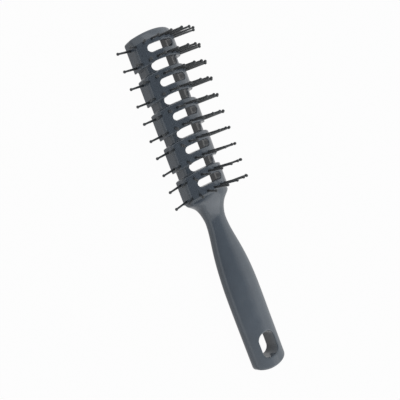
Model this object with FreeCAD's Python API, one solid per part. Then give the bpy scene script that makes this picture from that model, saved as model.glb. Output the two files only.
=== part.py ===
import FreeCAD, Part
import math
import os

from FreeCAD import Vector

# Half-round vent hairbrush, moulded in one piece. Millimetres.
# It lies on its back: X across, Y along the brush towards its tip, Z up where the pins point.
# The origin is under the middle of the brush, on the surface that it lies on.

# Overall
overall_length = 218.0

# Two places that lie closer than this count as one
closeness = 0.01

# Head: raised blocks of two pin rows each, joined by narrower bands
block_count = 5
rows_per_block = 2
row_pitch = 10.4
tip_to_first_row = 5.9
row_to_block_top = 3.0
row_to_block_foot = 2.4
last_row_to_head_foot = 1.8
block_half_width = 14.9
block_height = 15.75
block_front_radius = 19.9
band_half_width = 12.1
band_height = 13.6
row_arch_radius = 72.0
block_edge_bevel = 0.6
tip_edge_bevel = 1.2

# Air channel, open along the back of the head
channel_half_width = 10.5
channel_height = 11.2
channel_roof_round = 1.5
tip_wall = 3.2

# Vent slots across the front
vent_half_width = 9.05
vent_in_block = 4.6
vent_between_blocks = 5.4
vent_in_block_towards_tip = 0.45
vent_between_towards_tip = 0.2

# Pins
pins_per_row = 9
pin_spread_degrees = 15.2
ball_centre_radius = 32.5
ball_radius = 0.88
pin_root_radius = 0.68
pin_neck_radius = 0.55
pin_root_depth = 0.8
pin_sides = 6

# Handle: a straight grip, then a waist that draws in to the neck
grip_end_half_width = 12.25
grip_end_thickness = 12.5
grip_top_half_width = 12.5
grip_top_thickness = 11.9
neck_half_width = 6.8
neck_thickness = 9.75
waist_length = 56.0
section_fullness = 0.66
widest_level = 0.45
handle_end_radius = 28.0
handle_end_corner = 2.0
handle_end_bevel = 0.8

# Waist: shares of the way from the grip to the neck, of the narrowing and of the thinning
waist_profile = (
    (0.0, 0.0, 0.0),
    (0.12, 0.003, 0.005),
    (0.24, 0.02, 0.02),
    (0.36, 0.085, 0.07),
    (0.48, 0.19, 0.21),
    (0.60, 0.345, 0.46),
    (0.70, 0.52, 0.69),
    (0.80, 0.735, 0.86),
    (0.90, 0.92, 0.95),
    (1.0, 1.0, 1.0),
    (1.05, 1.0, 1.0),
)

# Flare from the neck to the head: shares of the way, of the widening and of the rise.
# It grows past the head's own outline, which cuts it back, so that its shoulders are full.
neck_to_head_foot = 18.6
flare_profile = (
    (-0.2, 0.0, 0.0),
    (-0.1, 0.0, 0.0),
    (0.0, 0.0, 0.0),
    (0.1, 0.022, 0.005),
    (0.21, 0.08, 0.04),
    (0.37, 0.185, 0.17),
    (0.48, 0.30, 0.33),
    (0.585, 0.45, 0.52),
    (0.69, 0.73, 0.70),
    (0.80, 1.10, 0.87),
    (0.88, 1.36, 0.98),
    (1.05, 1.70, 1.18),
)
flare_inset = 0.15
flare_below_front = 0.9
flare_back_fullness = 0.78
flare_widest_level = 0.25

# Scoop that carries the end of the channel out of the back of the flare
scoop_length = 18.0
scoop_end_radius = 0.8

# Hang hole
hang_hole_width = 12.2
hang_hole_length = 15.8
hang_hole_corner = 4.4
hang_hole_from_end = 14.8
hang_hole_bevel = 0.5

tip_y = overall_length / 2
end_y = -overall_length / 2
row_count = block_count * rows_per_block
front_centre_z = block_height - block_front_radius
overrun = 4.0


def row_y(row):
    """Y of a pin row on the centre line, counted from the tip."""
    return tip_y - tip_to_first_row - row * row_pitch


head_foot_y = row_y(row_count - 1) - last_row_to_head_foot
neck_y = head_foot_y - neck_to_head_foot


def dome(y):
    """Ball whose far side is the arched surface that crosses the crown line at y."""
    return Part.makeSphere(row_arch_radius, Vector(0, y - row_arch_radius, block_height))


def arch_drop(x, z):
    """How far the arched surface falls back from the tip, away from its crown."""
    reach = x * x + (z - block_height) ** 2
    return row_arch_radius - math.sqrt(row_arch_radius ** 2 - reach)


def half_round_face(half_width, height, y):
    """Section with flat sides and a round front, in the plane at y."""
    front_radius = height - front_centre_z
    corner_z = front_centre_z + math.sqrt(front_radius ** 2 - half_width ** 2)
    foot_left = Vector(-half_width, y, 0)
    foot_right = Vector(half_width, y, 0)
    corner_left = Vector(-half_width, y, corner_z)
    corner_right = Vector(half_width, y, corner_z)
    edges = [
        Part.LineSegment(foot_left, corner_left).toShape(),
        Part.Arc(corner_left, Vector(0, y, height), corner_right).toShape(),
        Part.LineSegment(corner_right, foot_right).toShape(),
        Part.LineSegment(foot_right, foot_left).toShape(),
    ]
    return Part.Face(Part.Wire(edges))


def edge_middle(edge):
    """Point halfway along an edge."""
    return edge.valueAt((edge.FirstParameter + edge.LastParameter) / 2)


def block_foot_y(number):
    """Where a block ends on the centre line."""
    if number == block_count - 1:
        return head_foot_y
    return row_y((number + 1) * rows_per_block - 1) - row_to_block_foot


def raised_edges(solid, y_low, y_high):
    """Edges off the floor whose middle lies between two places along the brush."""
    found = []
    for edge in solid.Edges:
        middle = edge_middle(edge)
        if middle.z > closeness and y_low < middle.y < y_high:
            found.append(edge)
    return found


def block(number):
    """One raised block, arched at both ends, with its outer edges bevelled."""
    first_row = number * rows_per_block
    is_tip = number == 0
    top_y = tip_y if is_tip else row_y(first_row) + row_to_block_top
    foot_y = block_foot_y(number)
    start_y = foot_y - arch_drop(block_half_width, 0) - overrun
    face = half_round_face(block_half_width, block_height, start_y)
    solid = face.extrude(Vector(0, top_y - start_y + overrun, 0))
    solid = solid.common(dome(top_y)).cut(dome(foot_y))
    if not is_tip:
        return solid.makeChamfer(block_edge_bevel, raised_edges(solid, start_y, top_y))
    far_half = raised_edges(solid, row_y(first_row), top_y + overrun)
    return solid.makeChamfer(tip_edge_bevel, far_half)


def head_core():
    """The narrower half-round that runs under all the blocks and makes the bands."""
    face = half_round_face(band_half_width, band_height, head_foot_y - overrun)
    length = row_y(0) - head_foot_y + overrun
    return face.extrude(Vector(0, length, 0))


def channel():
    """The hollow along the back of the head, without the scoop that ends it."""
    face = half_round_face(channel_half_width, channel_height, head_foot_y)
    solid = face.extrude(Vector(0, tip_y - head_foot_y, 0))
    lengthwise = [edge for edge in solid.Edges
                  if edge_middle(edge).z > closeness and abs(edge.tangentAt(edge.FirstParameter).y) > 0.9]
    solid = solid.makeFillet(channel_roof_round, lengthwise)
    below = Part.makeBox(2 * channel_half_width, tip_y - head_foot_y, overrun,
                         Vector(-channel_half_width, head_foot_y, -overrun))
    return solid.fuse(below).common(dome(tip_y - tip_wall))


def vent(y, width):
    """Arched slot with round ends, cut straight down into the channel."""
    centre = Vector(0, y - row_arch_radius, channel_height / 2)
    swing = math.asin((vent_half_width - width / 2) / row_arch_radius)

    def at(radius, angle):
        return centre + Vector(radius * math.sin(angle), radius * math.cos(angle), 0)

    far = row_arch_radius + width / 2
    near = row_arch_radius - width / 2
    beyond = swing + width / 2 / row_arch_radius
    edges = [
        Part.Arc(at(far, -swing), at(far, 0), at(far, swing)).toShape(),
        Part.Arc(at(far, swing), at(row_arch_radius, beyond), at(near, swing)).toShape(),
        Part.Arc(at(near, swing), at(near, 0), at(near, -swing)).toShape(),
        Part.Arc(at(near, -swing), at(row_arch_radius, -beyond), at(far, -swing)).toShape(),
    ]
    return Part.Face(Part.Wire(edges)).extrude(Vector(0, 0, block_height))


def vents():
    """A slot between every two neighbouring rows."""
    slots = []
    for row in range(row_count - 1):
        inside_block = (row + 1) % rows_per_block != 0
        if inside_block:
            middle = (row_y(row) + row_y(row + 1)) / 2
            slots.append(vent(middle + vent_in_block_towards_tip, vent_in_block))
        else:
            foot_y = row_y(row) - row_to_block_foot
            top_y = row_y(row + 1) + row_to_block_top
            slots.append(vent((foot_y + top_y) / 2 + vent_between_towards_tip, vent_between_blocks))
    return slots


def ring(radius, level):
    """Corners of a regular outline round the Z axis."""
    steps = [2 * math.pi * side / pin_sides for side in range(pin_sides)]
    return [Vector(radius * math.cos(step), radius * math.sin(step), level) for step in steps]


def flat_face(corners):
    """Flat face with these corners."""
    return Part.Face(Part.makePolygon(corners + corners[:1]))


def upright_pin(root_level):
    """Tapered pin with a ball tip, along Z from the centre that all the pins point away from."""
    rings = [
        ring(pin_root_radius, root_level),
        ring(pin_neck_radius, ball_centre_radius - 0.85 * ball_radius),
        ring(ball_radius, ball_centre_radius),
        ring(0.5 * ball_radius, ball_centre_radius + 0.85 * ball_radius),
    ]
    faces = [flat_face(rings[0]), flat_face(rings[-1])]
    for low, high in zip(rings, rings[1:]):
        for side in range(pin_sides):
            following = (side + 1) % pin_sides
            faces.append(flat_face([low[side], low[following], high[following], high[side]]))
    return Part.makeSolid(Part.makeShell(faces))


def surface_radius(angle):
    """Distance from the pins' centre to the outer skin of a block, at an angle from straight up."""
    side = abs(math.sin(angle))
    if side * block_front_radius < block_half_width:
        return block_front_radius
    return block_half_width / side


def pins():
    """Every row's fan of pins, square to the brush and arched across as the blocks are."""
    made = []
    middle = (pins_per_row - 1) / 2
    for place in range(pins_per_row):
        degrees = (place - middle) * pin_spread_degrees
        angle = math.radians(degrees)
        skin = surface_radius(angle)
        pin = upright_pin(skin - pin_root_depth)
        pin.rotate(Vector(0, 0, 0), Vector(0, 1, 0), degrees)
        drop = arch_drop(skin * math.sin(angle), front_centre_z + skin * math.cos(angle))
        for row in range(row_count):
            copy = pin.copy()
            copy.translate(Vector(0, row_y(row) - drop, front_centre_z))
            made.append(copy)
    return made


def section(y, half_width, thickness, level, back_fullness):
    """Smooth oval outline in the plane at y, widest at a share of its thickness."""
    widest_z = level * thickness
    right = Vector(half_width, y, widest_z)
    left = Vector(-half_width, y, widest_z)
    front = Vector(0, y, thickness)
    back = Vector(0, y, 0)

    def quarter(start, end, corner, fullness):
        curve = Part.BezierCurve()
        curve.setPoles([start, start + (corner - start) * fullness, end + (corner - end) * fullness, end])
        return curve.toShape()

    return Part.Wire([
        quarter(right, front, Vector(half_width, y, thickness), section_fullness),
        quarter(front, left, Vector(-half_width, y, thickness), section_fullness),
        quarter(left, back, Vector(-half_width, y, 0), back_fullness),
        quarter(back, right, Vector(half_width, y, 0), back_fullness),
    ])


def between(start, end, share):
    """Value that lies a share of the way from start to end."""
    return start + share * (end - start)


def smooth_loft(wires):
    """Solid with a smooth skin through the sections."""
    return Part.makeLoft(wires, True, False, False, 3)


def grip(grip_top_y):
    """The straight part of the handle, running past its end."""
    end = section(end_y - overrun, grip_end_half_width, grip_end_thickness, widest_level,
                  section_fullness)
    top = section(grip_top_y, grip_top_half_width, grip_top_thickness, widest_level,
                  section_fullness)
    return Part.makeLoft([end, top], True, True)


def waist(grip_top_y):
    """The part that narrows from the grip to the neck."""
    wires = []
    for share, narrowing, thinning in waist_profile:
        wires.append(section(between(grip_top_y, neck_y, share),
                             between(grip_top_half_width, neck_half_width, narrowing),
                             between(grip_top_thickness, neck_thickness, thinning),
                             widest_level, section_fullness))
    return smooth_loft(wires)


def flare():
    """The part that widens from the neck to the foot of the head, within the head's outline."""
    wires = []
    for share, widening, rise in flare_profile:
        wires.append(section(between(neck_y, head_foot_y, share),
                             between(neck_half_width, block_half_width - flare_inset, widening),
                             between(neck_thickness, block_height - flare_below_front, rise),
                             between(widest_level, flare_widest_level, min(widening, 1)),
                             between(section_fullness, flare_back_fullness, min(widening, 1))))
    outline = half_round_face(block_half_width - flare_inset, block_height - flare_below_front,
                              neck_y - overrun)
    return smooth_loft(wires).common(outline.extrude(Vector(0, tip_y - neck_y, 0)))


def handle():
    """Handle, neck and flare, trimmed to an arched end with a bevelled edge."""
    grip_top_y = neck_y - waist_length
    grip_part = grip(grip_top_y).common(end_trim())
    end_edges = [edge for edge in grip_part.Edges
                 if all(end.Y < grip_top_y - closeness for end in edge.Vertexes)]
    return grip_part.makeChamfer(handle_end_bevel, end_edges).fuse([waist(grip_top_y), flare()])


def end_trim():
    """Upright block whose outline is the arched end of the handle, and wider everywhere else."""
    arc_centre_y = end_y + handle_end_radius
    corner_y = arc_centre_y - math.sqrt(handle_end_radius ** 2 - grip_end_half_width ** 2)
    wide = 2 * block_half_width
    left = Vector(-grip_end_half_width, corner_y, -overrun)
    right = Vector(grip_end_half_width, corner_y, -overrun)
    outer_left = Vector(-wide, neck_y, -overrun)
    outer_right = Vector(wide, neck_y, -overrun)
    far_left = Vector(-wide, tip_y, -overrun)
    far_right = Vector(wide, tip_y, -overrun)
    edges = [
        Part.Arc(left, Vector(0, end_y, -overrun), right).toShape(),
        Part.LineSegment(right, outer_right).toShape(),
        Part.LineSegment(outer_right, far_right).toShape(),
        Part.LineSegment(far_right, far_left).toShape(),
        Part.LineSegment(far_left, outer_left).toShape(),
        Part.LineSegment(outer_left, left).toShape(),
    ]
    solid = Part.Face(Part.Wire(edges)).extrude(Vector(0, 0, block_height + 2 * overrun))
    corners = []
    for edge in solid.Edges:
        middle = edge_middle(edge)
        from_side = abs(abs(middle.x) - grip_end_half_width)
        if abs(middle.y - corner_y) < closeness and from_side < closeness:
            corners.append(edge)
    return solid.makeFillet(handle_end_corner, corners)


def scoop():
    """Tapering hollow that carries the channel's end out of the back of the flare."""
    return Part.makeCone(channel_height, scoop_end_radius, scoop_length,
                         Vector(0, head_foot_y, 0), Vector(0, -1, 0))


def hang_hole():
    """Rounded slot straight through the end of the handle."""
    corner = Vector(-hang_hole_width / 2, end_y + hang_hole_from_end - hang_hole_length / 2, -overrun)
    solid = Part.makeBox(hang_hole_width, hang_hole_length, block_height + 2 * overrun, corner)
    upright = [edge for edge in solid.Edges if abs(edge.tangentAt(edge.FirstParameter).z) > 0.9]
    return solid.makeFillet(hang_hole_corner, upright)


def brush():
    """The whole moulding."""
    body = handle().cut(hang_hole())
    rims = []
    for edge in body.Edges:
        middle = edge_middle(edge)
        from_hole = abs(middle.y - end_y - hang_hole_from_end)
        level = abs(edge.tangentAt(edge.FirstParameter).z) < 0.9
        if (level and abs(middle.x) <= hang_hole_width / 2 + closeness
                and from_hole <= hang_hole_length / 2 + closeness):
            rims.append(edge)
    body = body.makeChamfer(hang_hole_bevel, rims)
    body = body.fuse([head_core()] + [block(number) for number in range(block_count)])
    body = body.cut([channel(), scoop()] + vents())
    body = body.fuse(pins())
    return body.removeSplitter()


os.makedirs("parts", exist_ok=True)
moulding = brush()
solid = moulding.Solids[0]
print("solids", len(moulding.Solids), "valid", moulding.isValid(), "volume", round(moulding.Volume, 1))
solid.exportStep("parts/brush.step")
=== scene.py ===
import math

import bpy
import numpy as np
from mathutils import Matrix, Vector


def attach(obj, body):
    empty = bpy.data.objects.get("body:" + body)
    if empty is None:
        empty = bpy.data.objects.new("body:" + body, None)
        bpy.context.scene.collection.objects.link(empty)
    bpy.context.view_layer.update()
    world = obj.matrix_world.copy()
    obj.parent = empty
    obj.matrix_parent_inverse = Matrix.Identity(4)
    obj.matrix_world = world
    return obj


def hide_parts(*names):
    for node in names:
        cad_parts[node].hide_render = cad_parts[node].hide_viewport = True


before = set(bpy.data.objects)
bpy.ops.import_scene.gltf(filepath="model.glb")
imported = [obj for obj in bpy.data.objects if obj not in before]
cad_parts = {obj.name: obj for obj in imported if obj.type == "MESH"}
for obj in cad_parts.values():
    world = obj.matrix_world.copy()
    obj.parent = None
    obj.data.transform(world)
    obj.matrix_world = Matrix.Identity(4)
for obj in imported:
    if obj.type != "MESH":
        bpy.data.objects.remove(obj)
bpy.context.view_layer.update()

# Half-round vent hairbrush. The sizes below are in millimetres, as the moulding is drawn, and every
# mesh is made in metres. X runs across, Y along the brush towards its tip, Z up where the pins point.

MM = 0.001

# Head
LENGTH = 218.0
BLOCK_COUNT = 5
ROWS_PER_BLOCK = 2
ROW_PITCH = 10.4
TIP_TO_FIRST_ROW = 5.9
ROW_TO_BLOCK_TOP = 3.0
ROW_TO_BLOCK_FOOT = 2.4
LAST_ROW_TO_HEAD_FOOT = 1.8
BLOCK_HALF_WIDTH = 14.9
BLOCK_HEIGHT = 15.75
BLOCK_FRONT_RADIUS = 19.9
BAND_HALF_WIDTH = 12.1
BAND_HEIGHT = 13.6
ROW_ARCH_RADIUS = 72.0
BLOCK_EDGE_ROUND = 0.8
SECTION_CORNER_ROUND = 0.9
BAND_EDGE_ROUND = 1.0
BAND_FILLET = 0.5
RIM_EDGE_ROUND = 0.45

# Tip cap: just beyond the first row the front bends softly and then leans down to the tip
CAP_LENGTH = 5.2
CAP_SLOPE = math.tan(math.radians(22))
CAP_BEND = 0.8
TIP_EDGE_ROUND = 1.2

# Air channel and its scoop
CHANNEL_HALF_WIDTH = 10.5
CHANNEL_HEIGHT = 11.2
CHANNEL_ROOF_ROUND = 1.5
CHANNEL_EDGE_ROUND = 0.4
TIP_WALL = 3.2
SCOOP_LENGTH = 18.0
SCOOP_END_RADIUS = 0.8

# Vent slots
VENT_HALF_WIDTH = 9.05
VENT_IN_BLOCK = 4.6
VENT_BETWEEN_BLOCKS = 5.4
VENT_SHIFT_IN_BLOCK = 0.45
VENT_SHIFT_BETWEEN = 0.2
VENT_EDGE_ROUND = 0.45

# Pins
PINS_PER_ROW = 9
PIN_SPREAD_DEGREES = 15.2
BALL_CENTRE_RADIUS = 32.5
BALL_RADIUS = 0.92
PIN_ROOT_RADIUS = 0.72
PIN_NECK_RADIUS = 0.57
PIN_ROOT_DEPTH = 0.8
PIN_FOOT_FLARE = 0.08
PIN_SIDES = 12

# Handle
GRIP_END = (12.25, 12.5)
GRIP_TOP = (12.5, 11.9)
NECK = (6.8, 9.75)
WAIST_LENGTH = 56.0
NECK_TO_HEAD_FOOT = 18.6
FLARE_INSET = 0.15
FLARE_BELOW_FRONT = 0.9
FLARE_ROUND = 0.7
SECTION_POWER = 2.4
FLARE_BACK_POWER = 3.2
WIDEST_LEVEL = 0.45
FLARE_WIDEST_LEVEL = 0.25
HANDLE_END_RADIUS = 28.0
HANDLE_END_CORNER = 2.0
HANDLE_END_EDGE_ROUND = 1.2
HEAD_BLEND = 0.6

# Shares of the way, of the change in half width and of the change in thickness
WAIST_PROFILE = (
    (0.0, 0.0, 0.0),
    (0.12, 0.003, 0.005),
    (0.24, 0.02, 0.02),
    (0.36, 0.085, 0.07),
    (0.48, 0.19, 0.21),
    (0.60, 0.345, 0.46),
    (0.70, 0.52, 0.69),
    (0.80, 0.735, 0.86),
    (0.90, 0.92, 0.95),
    (1.0, 1.0, 1.0),
)

# The flare grows past the head's own outline, which cuts it back, so that its shoulders are full
FLARE_PROFILE = (
    (0.0, 0.0, 0.0),
    (0.1, 0.022, 0.005),
    (0.21, 0.08, 0.04),
    (0.37, 0.185, 0.17),
    (0.48, 0.30, 0.33),
    (0.585, 0.45, 0.52),
    (0.69, 0.73, 0.70),
    (0.80, 1.10, 0.82),
    (0.88, 1.36, 0.90),
    (1.05, 1.70, 1.07),
)

# How far the profiles are blurred at the grip's top, at the end of the waist and in the flare
PROFILE_BLUR = (4.0, 2.5, 0.9)

# Hang slot
HANG_SLOT_WIDTH = 12.2
HANG_SLOT_LENGTH = 15.8
HANG_SLOT_CORNER = 4.4
HANG_SLOT_FROM_END = 14.8
HANG_SLOT_EDGE_ROUND = 0.7

# Materials: colour, roughness, and depth of the surface's relief in metres
BODY_PLASTIC = ((0.049, 0.058, 0.070), 0.16, 0.000004)
PIN_PLASTIC = ((0.016, 0.018, 0.020), 0.35, 0.000005)

# Floor, in metres, and the share of its look that takes the shadow
FLOOR_HALF_WIDTH = 6.0
FLOOR_LEVEL = -0.0003
FLOOR_COLOUR = (0.25, 0.25, 0.25)
FLOOR_SHADE = 0.03

# Room: its light, the dimmer panel overhead, and where the panel is whole and gone on each side
ROOM_COLOUR = (1.46, 1.50, 1.51)
PANEL_COLOUR = (0.27, 0.31, 0.365)
PANEL_EDGES = (
    ("X", 0.50, 0.66),
    ("Y", 0.25, 0.40),
    ("Y", -0.29, -0.37),
    ("Z", 0.56, 0.43),
)

# Mesh of the moulding
CELL = 0.5
MARGIN = 1.1
TIDY_ROUNDS = 3

TIP_Y = LENGTH / 2
END_Y = -LENGTH / 2
ROW_COUNT = BLOCK_COUNT * ROWS_PER_BLOCK
FRONT_CENTRE_Z = BLOCK_HEIGHT - BLOCK_FRONT_RADIUS


def row_y(row):
    """Y of a pin row on the centre line, counted from the tip."""
    return TIP_Y - TIP_TO_FIRST_ROW - row * ROW_PITCH


def block_foot_y(number):
    """Y where a block ends on the centre line. The last block ends the head."""
    gap = LAST_ROW_TO_HEAD_FOOT if number == BLOCK_COUNT - 1 else ROW_TO_BLOCK_FOOT
    return row_y(number * ROWS_PER_BLOCK + ROWS_PER_BLOCK - 1) - gap


HEAD_FOOT_Y = block_foot_y(BLOCK_COUNT - 1)
NECK_Y = HEAD_FOOT_Y - NECK_TO_HEAD_FOOT
GRIP_TOP_Y = NECK_Y - WAIST_LENGTH
FLARE_TOP = (BLOCK_HALF_WIDTH - FLARE_INSET, BLOCK_HEIGHT - FLARE_BELOW_FRONT)


# Distance functions: negative inside, positive outside, in millimetres

def round_both(a, b, radius):
    """Where both shapes are, with the edge between them rounded."""
    corner = np.hypot(np.maximum(a + radius, 0), np.maximum(b + radius, 0))
    return np.minimum(np.maximum(a, b), -radius) + corner


def round_either(a, b, radius):
    """Where either shape is, with the corner between them filled by a fillet."""
    return -round_both(-a, -b, radius)


def arch_drop(x, z):
    """How far the arched surfaces fall back from the tip, away from their crown."""
    return ROW_ARCH_RADIUS - np.sqrt(ROW_ARCH_RADIUS ** 2 - x ** 2 - (z - BLOCK_HEIGHT) ** 2)


def half_round(x, z, half_width, height, edge_round):
    """Section with flat sides and a round front."""
    front = np.hypot(x, z - FRONT_CENTRE_Z) - (height - FRONT_CENTRE_Z)
    return round_both(np.abs(x) - half_width, front, edge_round)


def block(x, arched_y, z, number):
    """One raised block."""
    top_y = row_y(number * ROWS_PER_BLOCK) + ROW_TO_BLOCK_TOP
    top_round = BLOCK_EDGE_ROUND
    if number == 0:
        beyond = arched_y - row_y(0) - CAP_BEND
        z = z + CAP_SLOPE * (beyond + np.hypot(beyond, CAP_BEND)) / 2
        top_y = row_y(0) + CAP_LENGTH
        top_round = TIP_EDGE_ROUND
    shape = half_round(x, z, BLOCK_HALF_WIDTH, BLOCK_HEIGHT, SECTION_CORNER_ROUND)
    shape = round_both(shape, arched_y - top_y, top_round)
    return round_both(shape, block_foot_y(number) - arched_y, BLOCK_EDGE_ROUND)


def head(x, y, z):
    """The blocks on their narrower core, before the channel and the vents are cut."""
    arched_y = y + arch_drop(x, z)
    shape = half_round(x, z, BAND_HALF_WIDTH, BAND_HEIGHT, BAND_EDGE_ROUND)
    shape = np.maximum(shape, np.maximum(arched_y - row_y(0), HEAD_FOOT_Y - 1 - y))
    for number in range(BLOCK_COUNT):
        shape = round_either(shape, block(x, arched_y, z, number), BAND_FILLET)
    return round_both(shape, -z, RIM_EDGE_ROUND)


def smooth_profile():
    """Half width, thickness and flare share along the handle, blurred so that no station shows."""
    stations = [(END_Y - 10, *GRIP_END, 0.0), (END_Y, *GRIP_END, 0.0)]
    for share, narrowing, thinning in WAIST_PROFILE:
        stations.append((GRIP_TOP_Y + share * WAIST_LENGTH,
                         GRIP_TOP[0] + narrowing * (NECK[0] - GRIP_TOP[0]),
                         GRIP_TOP[1] + thinning * (NECK[1] - GRIP_TOP[1]), 0.0))
    for share, widening, rise in FLARE_PROFILE[1:]:
        stations.append((NECK_Y + share * NECK_TO_HEAD_FOOT,
                         NECK[0] + widening * (FLARE_TOP[0] - NECK[0]),
                         NECK[1] + rise * (FLARE_TOP[1] - NECK[1]), min(widening, 1)))
    stations.append((HEAD_FOOT_Y + 20, *stations[-1][1:]))
    known = np.array(stations).T
    fine_y = np.arange(known[0][0], known[0][-1], 0.25)
    blur_width = np.interp(fine_y, [GRIP_TOP_Y, NECK_Y - 10, NECK_Y + 4], PROFILE_BLUR)
    smooth = []
    for values in known[1:]:
        plain = np.interp(fine_y, known[0], values)
        weights = np.exp(-0.5 * ((fine_y[:, None] - fine_y[None, :]) / blur_width[:, None]) ** 2)
        smooth.append(weights @ plain / weights.sum(axis=1))
    return fine_y, smooth


PROFILE_Y, PROFILE = smooth_profile()


def handle(x, y, z):
    """Grip, waist, neck and flare as one oval whose size changes along the brush."""
    half_width, thickness, widening = (np.interp(y, PROFILE_Y, values) for values in PROFILE)
    level = WIDEST_LEVEL + widening * (FLARE_WIDEST_LEVEL - WIDEST_LEVEL)
    back_power = SECTION_POWER + widening * (FLARE_BACK_POWER - SECTION_POWER)
    rise = z - level * thickness
    depth = np.where(rise > 0, (1 - level) * thickness, level * thickness)
    power = np.where(rise > 0, SECTION_POWER, back_power)
    across = np.maximum(np.abs(x) / half_width, 1e-6)
    reach = (across ** power + (np.abs(rise) / depth) ** power) ** (1 / power)
    oval = np.hypot(x, rise) * (1 - 1 / reach)
    corner_y = END_Y + HANDLE_END_RADIUS - math.sqrt(HANDLE_END_RADIUS ** 2 - GRIP_END[0] ** 2)
    slant = math.atan2(2 * BLOCK_HALF_WIDTH - GRIP_END[0], NECK_Y - corner_y)
    side = (np.abs(x) - GRIP_END[0]) * math.cos(slant) - (y - corner_y) * math.sin(slant)
    end_arc = np.hypot(x, np.minimum(y - END_Y - HANDLE_END_RADIUS, 0)) - HANDLE_END_RADIUS
    plan = round_both(side, end_arc, HANDLE_END_CORNER)
    trimmed = round_both(oval, plan, HANDLE_END_EDGE_ROUND)
    trimmed = round_both(trimmed, half_round(x, z, *FLARE_TOP, SECTION_CORNER_ROUND), FLARE_ROUND)
    return np.maximum(trimmed, y - HEAD_FOOT_Y - 2)


def channel(x, y, z):
    """The hollow along the back of the head, and the scoop that ends it."""
    arched_y = y + arch_drop(x, z)
    hollow = half_round(x, z, CHANNEL_HALF_WIDTH, CHANNEL_HEIGHT, CHANNEL_ROOF_ROUND)
    hollow = round_both(hollow, arched_y - TIP_Y + TIP_WALL, CHANNEL_ROOF_ROUND)
    hollow = np.maximum(hollow, HEAD_FOOT_Y - y)
    slope = (CHANNEL_HEIGHT - SCOOP_END_RADIUS) / SCOOP_LENGTH
    scoop_radius = CHANNEL_HEIGHT + (y - HEAD_FOOT_Y) * slope
    scoop = (np.hypot(x, z) - scoop_radius) / math.hypot(1, slope)
    scoop = np.maximum(scoop, np.maximum(y - HEAD_FOOT_Y, HEAD_FOOT_Y - SCOOP_LENGTH - y))
    return np.minimum(hollow, scoop)


def vent(x, y, z, centre_y, width):
    """Arched slot with round ends."""
    round_trip = y - centre_y + ROW_ARCH_RADIUS
    along = ROW_ARCH_RADIUS * np.arctan2(x, round_trip)
    beyond = np.maximum(np.abs(along) - (VENT_HALF_WIDTH - width / 2), 0)
    slot = np.hypot(beyond, np.hypot(x, round_trip) - ROW_ARCH_RADIUS) - width / 2
    return np.maximum(slot, CHANNEL_HEIGHT / 2 - z)


def vents(x, y, z):
    """A slot between every two neighbouring rows."""
    shape = np.full(np.broadcast(x, y, z).shape, 1e3)
    for row in range(ROW_COUNT - 1):
        if (row + 1) % ROWS_PER_BLOCK:
            centre_y = (row_y(row) + row_y(row + 1)) / 2
            slot = vent(x, y, z, centre_y + VENT_SHIFT_IN_BLOCK, VENT_IN_BLOCK)
        else:
            foot_y = row_y(row) - ROW_TO_BLOCK_FOOT
            top_y = row_y(row + 1) + ROW_TO_BLOCK_TOP
            centre_y = (foot_y + top_y) / 2
            slot = vent(x, y, z, centre_y + VENT_SHIFT_BETWEEN, VENT_BETWEEN_BLOCKS)
        shape = np.minimum(shape, slot)
    return shape


def hang_slot(x, y):
    """Rounded slot straight through the end of the handle."""
    over_x = np.abs(x) - (HANG_SLOT_WIDTH / 2 - HANG_SLOT_CORNER)
    over_y = np.abs(y - END_Y - HANG_SLOT_FROM_END) - (HANG_SLOT_LENGTH / 2 - HANG_SLOT_CORNER)
    outside = np.hypot(np.maximum(over_x, 0), np.maximum(over_y, 0))
    return outside + np.minimum(np.maximum(over_x, over_y), 0) - HANG_SLOT_CORNER


def moulding(x, y, z):
    """The whole moulding without its pins."""
    shape = round_either(handle(x, y, z), head(x, y, z), HEAD_BLEND)
    shape = round_both(shape, -channel(x, y, z), CHANNEL_EDGE_ROUND)
    shape = round_both(shape, -vents(x, y, z), VENT_EDGE_ROUND)
    return round_both(shape, -hang_slot(x, y), HANG_SLOT_EDGE_ROUND)


# Mesh of a distance function

def sample_grid():
    """Distance at every corner of a grid that holds the moulding."""
    reach = BLOCK_HALF_WIDTH + MARGIN
    xs = np.arange(-reach, reach + CELL, CELL)
    ys = np.arange(END_Y - MARGIN, TIP_Y + MARGIN + CELL, CELL)
    zs = np.arange(-MARGIN, BLOCK_HEIGHT + MARGIN + CELL, CELL)
    grid = moulding(xs[:, None, None], ys[None, :, None], zs[None, None, :])
    return xs, ys, zs, grid


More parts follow.
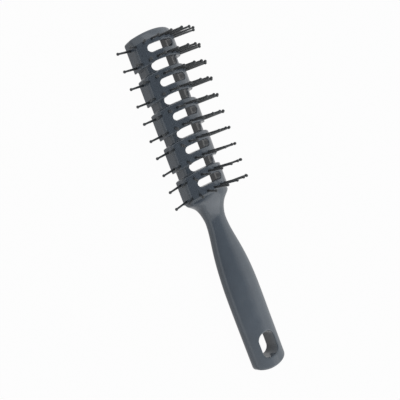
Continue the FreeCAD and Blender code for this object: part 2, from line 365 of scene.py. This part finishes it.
def surface_net(xs, ys, zs, grid):
    """One point in each cell that the surface crosses, and one quad round each crossed grid edge."""
    inside = grid < 0
    counts = [n - 1 for n in grid.shape]
    total = np.zeros(counts + [3])
    crossings = np.zeros(counts)
    starts = (xs, ys, zs)
    corner = [slice(0, n) for n in counts]
    for axis in range(3):
        others = [a for a in range(3) if a != axis]
        for step_a in (0, 1):
            for step_b in (0, 1):
                low = list(corner)
                low[others[0]] = slice(step_a, step_a + counts[others[0]])
                low[others[1]] = slice(step_b, step_b + counts[others[1]])
                high = list(low)
                high[axis] = slice(1, 1 + counts[axis])
                near, far = grid[tuple(low)], grid[tuple(high)]
                crossed = inside[tuple(low)] != inside[tuple(high)]
                share = np.where(crossed, near / np.where(crossed, near - far, 1), 0)
                total[..., axis] += share * crossed
                total[..., others[0]] += step_a * crossed
                total[..., others[1]] += step_b * crossed
                crossings += crossed
    used = crossings > 0
    numbers = np.full(counts, -1)
    numbers[used] = np.arange(used.sum())
    cells = np.argwhere(used)
    points = total[used] / crossings[used][:, None] * CELL
    points += np.stack([starts[axis][cells[:, axis]] for axis in range(3)], axis=1)
    quads = []
    for axis in range(3):
        a, b = (axis + 1) % 3, (axis + 2) % 3
        low = [slice(1, n) for n in counts]
        low[axis] = slice(0, counts[axis])
        high = list(low)
        high[axis] = slice(1, 1 + counts[axis])
        starts_inside = inside[tuple(low)]
        crossed = np.argwhere(starts_inside != inside[tuple(high)])
        outward = starts_inside[tuple(crossed.T)]
        base = crossed.copy()
        base[:, a] += 1
        base[:, b] += 1
        around = []
        for back_a, back_b in ((1, 1), (0, 1), (0, 0), (1, 0)):
            cell = base.copy()
            cell[:, a] -= back_a
            cell[:, b] -= back_b
            around.append(numbers[tuple(cell.T)])
        ring = np.stack(around, axis=1)
        ring[~outward] = ring[~outward][:, ::-1]
        quads.append(ring)
    return points, np.concatenate(quads)


def slope_at(points):
    """Distance and its gradient at points."""
    step = 0.02
    gradient = np.empty_like(points)
    for axis in range(3):
        shift = np.zeros(3)
        shift[axis] = step
        ahead = moulding(*(points + shift).T)
        behind = moulding(*(points - shift).T)
        gradient[:, axis] = (ahead - behind) / (2 * step)
    return moulding(*points.T), gradient


def settle(points):
    """Moves points straight onto the surface."""
    distance, gradient = slope_at(points)
    length = np.maximum((gradient ** 2).sum(axis=1), 0.05)
    move = gradient * (distance / length)[:, None]
    size = np.linalg.norm(move, axis=1)
    return points - move * np.minimum(1, 0.4 * CELL / np.maximum(size, 1e-9))[:, None]


def even_out(points, quads):
    """Moves each point halfway to the middle of its neighbours, then back onto the surface."""
    total = np.zeros_like(points)
    count = np.zeros(len(points))
    for side in range(4):
        start, end = quads[:, side], quads[:, (side + 1) % 4]
        for here, there in ((start, end), (end, start)):
            np.add.at(total, here, points[there])
            np.add.at(count, here, 1)
    return settle(points + 0.5 * (total / count[:, None] - points))


def mesh_piece(name, points, faces):
    """Object with a smooth-shaded mesh, from millimetres."""
    mesh = bpy.data.meshes.new(name)
    mesh.from_pydata([tuple(p) for p in np.asarray(points) * MM], [], [tuple(f) for f in faces])
    mesh.update()
    mesh.shade_smooth()
    piece = bpy.data.objects.new(name, mesh)
    bpy.context.scene.collection.objects.link(piece)
    return piece


def make_moulding():
    """The body of the brush: handle, head, blocks, channel and vents in one skin."""
    points, quads = surface_net(*sample_grid())
    for _ in range(TIDY_ROUNDS):
        points = even_out(points, quads)
    points = settle(points)
    piece = mesh_piece("brush_body", points, quads.tolist())
    normals = slope_at(points)[1]
    normals /= np.linalg.norm(normals, axis=1)[:, None]
    piece.data.normals_split_custom_set_from_vertices(normals.tolist())
    return piece


# Pins

def surface_radius(angle):
    """Distance from the pins' centre to the outer skin of a block, at an angle from straight up."""
    side = abs(math.sin(angle))
    if side * BLOCK_FRONT_RADIUS < BLOCK_HALF_WIDTH:
        return BLOCK_FRONT_RADIUS
    return BLOCK_HALF_WIDTH / side


def pin_outline(skin):
    """Radius and distance from the centre along one pin, from its root to the top of its ball."""
    outline = [
        (PIN_ROOT_RADIUS + PIN_FOOT_FLARE, skin - PIN_ROOT_DEPTH),
        (PIN_ROOT_RADIUS + PIN_FOOT_FLARE, skin),
        (PIN_ROOT_RADIUS + 0.35 * PIN_FOOT_FLARE, skin + 0.3),
        (PIN_ROOT_RADIUS, skin + 0.8),
    ]
    for turn in range(-3, 5):
        angle = math.radians(20 * turn)
        outline.append((BALL_RADIUS * math.cos(angle), BALL_CENTRE_RADIUS + BALL_RADIUS * math.sin(angle)))
    neck = math.sqrt(BALL_RADIUS ** 2 - PIN_NECK_RADIUS ** 2)
    outline.insert(4, (PIN_NECK_RADIUS, BALL_CENTRE_RADIUS - neck - 0.25))
    return outline


def make_pins():
    """Ten rows of pins that fan out across the front."""
    points = []
    faces = []
    middle = (PINS_PER_ROW - 1) / 2
    turns = [2 * math.pi * side / PIN_SIDES for side in range(PIN_SIDES)]
    for place in range(PINS_PER_ROW):
        angle = math.radians((place - middle) * PIN_SPREAD_DEGREES)
        skin = surface_radius(angle)
        drop = arch_drop(skin * math.sin(angle), FRONT_CENTRE_Z + skin * math.cos(angle))
        outline = pin_outline(skin)
        for row in range(ROW_COUNT):
            start = len(points)
            for radius, level in outline:
                for turn in turns:
                    across = radius * math.cos(turn)
                    points.append((across * math.cos(angle) + level * math.sin(angle),
                                   row_y(row) - drop + radius * math.sin(turn),
                                   FRONT_CENTRE_Z + level * math.cos(angle) - across * math.sin(angle)))
            for ring in range(len(outline) - 1):
                low = start + ring * PIN_SIDES
                for side in range(PIN_SIDES):
                    following = (side + 1) % PIN_SIDES
                    faces.append((low + side, low + following,
                                  low + PIN_SIDES + following, low + PIN_SIDES + side))
            top = start + (len(outline) - 1) * PIN_SIDES
            faces.append([start + side for side in reversed(range(PIN_SIDES))])
            faces.append([top + side for side in range(PIN_SIDES)])
    return mesh_piece("pins", points, faces)


# Materials

def plastic(name, colour, roughness, bump):
    """Dark moulded plastic, faintly uneven in tone, gloss and surface."""
    material = bpy.data.materials.new(name)
    material.use_nodes = True
    nodes, links = material.node_tree.nodes, material.node_tree.links
    shader = nodes["Principled BSDF"]
    shader.inputs["IOR"].default_value = 1.46
    place = nodes.new("ShaderNodeTexCoord")

    def noise(scale, detail):
        texture = nodes.new("ShaderNodeTexNoise")
        texture.inputs["Scale"].default_value = scale
        texture.inputs["Detail"].default_value = detail
        links.new(place.outputs["Object"], texture.inputs["Vector"])
        return texture.outputs["Fac"]

    def spread(source, low, high):
        spread_node = nodes.new("ShaderNodeMapRange")
        spread_node.inputs["From Min"].default_value = 0.3
        spread_node.inputs["From Max"].default_value = 0.7
        spread_node.inputs["To Min"].default_value = low
        spread_node.inputs["To Max"].default_value = high
        links.new(source, spread_node.inputs["Value"])
        return spread_node.outputs["Result"]

    tone = nodes.new("ShaderNodeMix")
    tone.data_type = "RGBA"
    tone.inputs["A"].default_value = (*[0.88 * c for c in colour], 1)
    tone.inputs["B"].default_value = (*[1.12 * c for c in colour], 1)
    links.new(spread(noise(45, 3), 0, 1), tone.inputs["Factor"])
    links.new(tone.outputs["Result"], shader.inputs["Base Color"])
    links.new(spread(noise(160, 4), roughness - 0.04, roughness + 0.05), shader.inputs["Roughness"])
    relief = nodes.new("ShaderNodeBump")
    relief.inputs["Strength"].default_value = 1.0
    relief.inputs["Distance"].default_value = bump
    links.new(noise(900, 2), relief.inputs["Height"])
    links.new(relief.outputs["Normal"], shader.inputs["Normal"])
    return material


# Stage

def seen_directly(nodes, links):
    """1 where the camera, a reflection or a clear body looks, and 0 for light that only falls."""
    path = nodes.new("ShaderNodeLightPath")
    total = path.outputs["Is Camera Ray"]
    for name in ("Is Glossy Ray", "Is Transmission Ray"):
        add = nodes.new("ShaderNodeMath")
        add.operation = "MAXIMUM"
        links.new(total, add.inputs[0])
        links.new(path.outputs[name], add.inputs[1])
        total = add.outputs[0]
    return total


def make_floor():
    """Wide floor that looks near white and keeps a faint shadow of the brush."""
    half, level = FLOOR_HALF_WIDTH, FLOOR_LEVEL
    mesh = bpy.data.meshes.new("floor")
    corners = [(-half, -half, level), (half, -half, level), (half, half, level), (-half, half, level)]
    mesh.from_pydata(corners, [], [(0, 1, 2, 3)])
    floor = bpy.data.objects.new("floor", mesh)
    bpy.context.scene.collection.objects.link(floor)
    material = bpy.data.materials.new("floor")
    material.use_nodes = True
    nodes, links = material.node_tree.nodes, material.node_tree.links
    nodes.clear()
    plain = nodes.new("ShaderNodeBsdfDiffuse")
    plain.inputs["Color"].default_value = (*FLOOR_COLOUR, 1)
    white = nodes.new("ShaderNodeEmission")
    white.inputs["Color"].default_value = (1, 1, 1, 1)
    white.inputs["Strength"].default_value = 1.0
    pale = nodes.new("ShaderNodeMixShader")
    pale.inputs["Fac"].default_value = FLOOR_SHADE
    links.new(white.outputs[0], pale.inputs[1])
    links.new(plain.outputs[0], pale.inputs[2])
    pick = nodes.new("ShaderNodeMixShader")
    links.new(seen_directly(nodes, links), pick.inputs["Fac"])
    links.new(plain.outputs[0], pick.inputs[1])
    links.new(pale.outputs[0], pick.inputs[2])
    out = nodes.new("ShaderNodeOutputMaterial")
    links.new(pick.outputs[0], out.inputs["Surface"])
    floor.data.materials.append(material)


def make_world():
    """White to the camera; for light and reflections, a pale room with a dimmer panel overhead."""
    world = bpy.data.worlds.new("studio")
    bpy.context.scene.world = world
    world.use_nodes = True
    nodes, links = world.node_tree.nodes, world.node_tree.links
    nodes.clear()
    place = nodes.new("ShaderNodeTexCoord")
    split = nodes.new("ShaderNodeSeparateXYZ")
    links.new(place.outputs["Generated"], split.inputs[0])

    def fade(axis, whole, gone):
        step = nodes.new("ShaderNodeMapRange")
        step.interpolation_type = "SMOOTHSTEP"
        step.inputs["From Min"].default_value = whole
        step.inputs["From Max"].default_value = gone
        step.inputs["To Min"].default_value = 1.0
        step.inputs["To Max"].default_value = 0.0
        links.new(split.outputs[axis], step.inputs["Value"])
        return step.outputs["Result"]

    panel = None
    for axis, whole, gone in PANEL_EDGES:
        share = fade(axis, whole, gone)
        if panel is not None:
            product = nodes.new("ShaderNodeMath")
            product.operation = "MULTIPLY"
            links.new(panel, product.inputs[0])
            links.new(share, product.inputs[1])
            share = product.outputs[0]
        panel = share
    room = nodes.new("ShaderNodeMix")
    room.data_type = "RGBA"
    room.inputs["A"].default_value = (*ROOM_COLOUR, 1)
    room.inputs["B"].default_value = (*PANEL_COLOUR, 1)
    links.new(panel, room.inputs["Factor"])
    studio = nodes.new("ShaderNodeBackground")
    links.new(room.outputs["Result"], studio.inputs["Color"])
    white = nodes.new("ShaderNodeBackground")
    white.inputs["Color"].default_value = (1, 1, 1, 1)
    path = nodes.new("ShaderNodeLightPath")
    pick = nodes.new("ShaderNodeMixShader")
    links.new(path.outputs["Is Camera Ray"], pick.inputs["Fac"])
    links.new(studio.outputs[0], pick.inputs[1])
    links.new(white.outputs[0], pick.inputs[2])
    out = nodes.new("ShaderNodeOutputWorld")
    links.new(pick.outputs[0], out.inputs["Surface"])


def add_softbox(name, place, size, power):
    """Area lamp that faces the middle of the brush, in metres and watts."""
    lamp = bpy.data.lights.new(name, "AREA")
    lamp.shape = "RECTANGLE"
    lamp.size, lamp.size_y = size
    lamp.energy = power
    holder = bpy.data.objects.new(name, lamp)
    holder.location = place
    holder.rotation_mode = "QUATERNION"
    holder.rotation_quaternion = (-Vector(place)).to_track_quat("-Z", "Y")
    bpy.context.scene.collection.objects.link(holder)


def make_lamps():
    """Two wide soft lamps: one towards the handle, seen in the flare, and one beyond the tip."""
    add_softbox("lamp_flare", (0.26, -1.00, 0.76), (1.6, 0.9), 4.5)
    add_softbox("lamp_tip", (0.17, 0.68, 1.00), (1.3, 0.5), 2.5)


# Camera, as fitted to the photograph: the point it is measured from, where that point lies as the
# camera sees it, and three turns in degrees

CAMERA_POINT = (0.0, 4.1, 10.0)
CAMERA_OFFSET = (7.429, 2.145, -459.677)
CAMERA_TURNS = (35.006, 8.504, 20.446)
CAMERA_LENS = 69.01


def make_camera():
    """Camera at the photograph's place."""
    swing, tilt, roll = (math.radians(turn) for turn in CAMERA_TURNS)
    to_camera = Matrix.Rotation(roll, 3, "Z") @ Matrix.Rotation(tilt, 3, "X")
    to_camera = to_camera @ Matrix.Rotation(swing, 3, "Y")
    to_world = to_camera.transposed()
    place = Vector(CAMERA_POINT) - to_world @ Vector(CAMERA_OFFSET)
    data = bpy.data.cameras.new("camera")
    data.lens = CAMERA_LENS
    data.sensor_width = 36.0
    data.clip_start, data.clip_end = 0.01, 30.0
    camera = bpy.data.objects.new("camera", data)
    camera.matrix_world = Matrix.Translation(place * MM) @ to_world.to_4x4()
    bpy.context.scene.collection.objects.link(camera)
    bpy.context.scene.camera = camera


bpy.context.scene.view_settings.view_transform = "Standard"
make_camera()
make_world()
make_floor()
make_lamps()

body = make_moulding()
body.data.materials.append(plastic("moulded_plastic", *BODY_PLASTIC))
pins = make_pins()
pins.data.materials.append(plastic("pin_plastic", *PIN_PLASTIC))
for piece in (body, pins):
    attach(piece, "root")
    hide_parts("brush")
